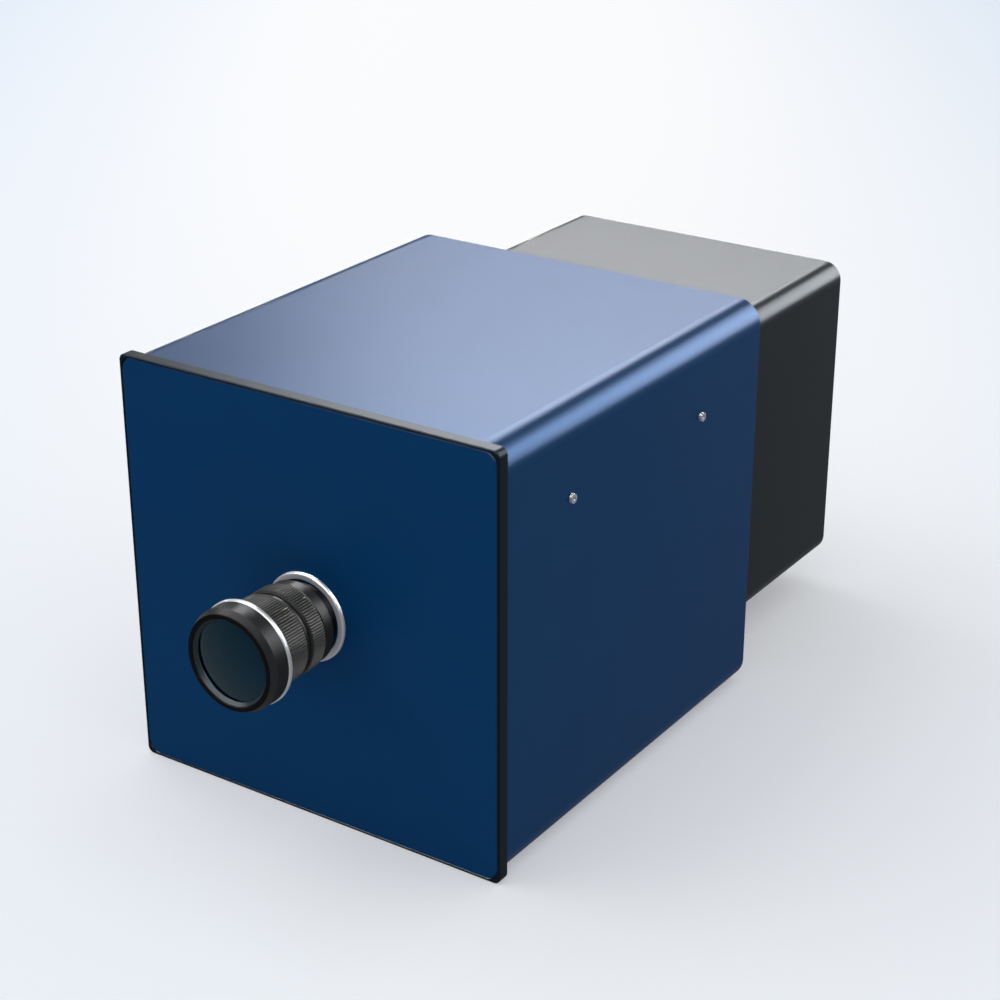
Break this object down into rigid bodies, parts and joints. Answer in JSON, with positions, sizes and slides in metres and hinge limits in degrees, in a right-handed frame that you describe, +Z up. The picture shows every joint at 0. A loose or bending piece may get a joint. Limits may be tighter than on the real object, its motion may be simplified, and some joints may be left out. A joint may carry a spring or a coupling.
{
  "type": "hyperspectral camera",
  "caption": "Square blue hyperspectral camera with a machine-vision lens on its front panel, a scanning spectrograph inside and a smaller black electronics housing behind.",
  "frame": {"origin": "mouth of the tripod thread, in the middle of the base pad's underside", "axes": "+Z up, the lens looks along -Y, +X to the right seen from the front"},
  "size_m": [0.1818, 0.3627, 0.18],
  "materials": {
    "frame_black": "satin black anodising",
    "anodised_blue": "satin blue anodising",
    "silver_trim": "bright turned",
    "lens_black": "satin black anodising",
    "knurl_black": "knurled black anodising",
    "coated_glass": "coated optical glass",
    "iris_steel": "blackened spring steel",
    "screw_steel": "bright steel",
    "bare_aluminium": "milled",
    "nut_brass": "machined",
    "socket_nickel": "nickel plated",
    "board_green": "solder mask",
    "fan_plastic": "moulded",
    "button_plastic": "moulded",
    "lamp_plastic": "clear tinted",
    "sensor_ceramic": "ceramic package"
  },
  "bodies": {
    "housing": {"front_frame": "frame_black", "bulkhead": "frame_black", "rear_housing": "frame_black", "rear_panel": "frame_black", "fan_guard": "frame_black", "switch_bezel": "frame_black", "front_panel": "anodised_blue", "main_housing": "anodised_blue", "lens_trim_ring": "silver_trim", "lens_barrel": "lens_black", "index_collar": "lens_black", "lens_mount": "lens_black", "rear_element": "coated_glass", "front_screws": "screw_steel", "bulkhead_screws": "screw_steel", "side_screws": "screw_steel", "rear_panel_screws": "screw_steel", "fan_screws": "screw_steel", "guide_rails": "screw_steel", "tie_rods": "bare_aluminium", "side_rails": "bare_aluminium", "rear_tie_rods": "bare_aluminium", "board_standoffs": "bare_aluminium", "base_plate": "bare_aluminium", "rail_supports": "bare_aluminium", "scan_motor": "bare_aluminium", "power_socket": "socket_nickel", "data_socket": "socket_nickel", "trigger_socket": "socket_nickel", "controller_board": "board_green", "power_board": "board_green", "fan_frame": "fan_plastic", "status_lamp": "lamp_plastic"},
    "focus": {"focus_ring": "knurl_black"},
    "front_group": {"front_barrel": "lens_black", "accent_ring": "silver_trim", "front_retainer": "lens_black", "front_element": "coated_glass"},
    "iris": {"iris_ring": "knurl_black", "iris_cam_ring": "iris_steel"},
    "scan_stage": {"scan_carriage": "bare_aluminium", "drive_nut": "nut_brass", "spectrograph_body": "lens_black", "slit_holder": "lens_black", "slit_plate": "iris_steel", "collimator_lens": "coated_glass", "grating_prism": "coated_glass", "imaging_lens": "coated_glass", "detector_head": "lens_black", "image_sensor": "sensor_ceramic", "detector_heatsink": "bare_aluminium"},
    "screw": {"lead_screw": "screw_steel"},
    "rotor": {"fan_rotor": "fan_plastic"},
    "button": {"power_button": "button_plastic"},
    "iris_blade_1": {"iris_blade_1": "iris_steel"},
    "iris_blade_2": {"iris_blade_2": "iris_steel"},
    "iris_blade_3": {"iris_blade_3": "iris_steel"},
    "iris_blade_4": {"iris_blade_4": "iris_steel"},
    "iris_blade_5": {"iris_blade_5": "iris_steel"},
    "iris_blade_6": {"iris_blade_6": "iris_steel"}
  },
  "joints": [
    {"name": "focus_slide", "type": "slide", "parent": "housing", "child": "front_group", "axis": [0, -1, 0], "range_m": [-0.0015, 0.0015]},
    {"name": "focus_turn", "type": "hinge", "parent": "housing", "child": "focus", "pos_m": [0, -0.137, 0.09], "axis": [0, -1, 0], "range_deg": [-90.5, 90.5]},
    {"name": "iris_turn", "type": "hinge", "parent": "housing", "child": "iris", "pos_m": [0, -0.124, 0.09], "axis": [0, -1, 0], "range_deg": [0, 70]},
    {"name": "blade_swing_1", "type": "hinge", "parent": "housing", "child": "iris_blade_1", "pos_m": [0.0107, -0.123, 0.09], "axis": [0, -1, 0], "range_deg": [0, 32.2]},
    {"name": "blade_swing_2", "type": "hinge", "parent": "housing", "child": "iris_blade_2", "pos_m": [0.00535, -0.1235, 0.09927], "axis": [0, -1, 0], "range_deg": [0, 32.2]},
    {"name": "blade_swing_3", "type": "hinge", "parent": "housing", "child": "iris_blade_3", "pos_m": [-0.00535, -0.124, 0.09927], "axis": [0, -1, 0], "range_deg": [0, 32.2]},
    {"name": "blade_swing_4", "type": "hinge", "parent": "housing", "child": "iris_blade_4", "pos_m": [-0.0107, -0.1245, 0.09], "axis": [0, -1, 0], "range_deg": [0, 32.2]},
    {"name": "blade_swing_5", "type": "hinge", "parent": "housing", "child": "iris_blade_5", "pos_m": [-0.00535, -0.125, 0.08073], "axis": [0, -1, 0], "range_deg": [0, 32.2]},
    {"name": "blade_swing_6", "type": "hinge", "parent": "housing", "child": "iris_blade_6", "pos_m": [0.00535, -0.1255, 0.08073], "axis": [0, -1, 0], "range_deg": [0, 32.2]},
    {"name": "scan_slide", "type": "slide", "parent": "housing", "child": "scan_stage", "axis": [1, 0, 0], "range_m": [-0.006, 0.006]},
    {"name": "screw_turn", "type": "hinge", "parent": "housing", "child": "screw", "pos_m": [0, -0.015, 0.034], "axis": [1, 0, 0], "range_deg": [-1090, 1090]},
    {"name": "fan_spin", "type": "hinge", "parent": "housing", "child": "rotor", "pos_m": [0, 0.188, 0.117], "axis": [0, 1, 0], "continuous": true},
    {"name": "power_press", "type": "slide", "parent": "housing", "child": "button", "axis": [0, -1, 0], "range_m": [0, 0.0012], "stiffness_N_per_m": 800}
  ],
  "couplings": [
    {"joint": "focus_turn", "follows": "focus_slide", "rad_per_m": 1047.2},
    {"joint": "blade_swing_1", "follows": "iris_turn", "ratio": 0.457},
    {"joint": "blade_swing_2", "follows": "iris_turn", "ratio": 0.457},
    {"joint": "blade_swing_3", "follows": "iris_turn", "ratio": 0.457},
    {"joint": "blade_swing_4", "follows": "iris_turn", "ratio": 0.457},
    {"joint": "blade_swing_5", "follows": "iris_turn", "ratio": 0.457},
    {"joint": "blade_swing_6", "follows": "iris_turn", "ratio": 0.457},
    {"joint": "screw_turn", "follows": "scan_slide", "rad_per_m": 3141.6}
  ]
}
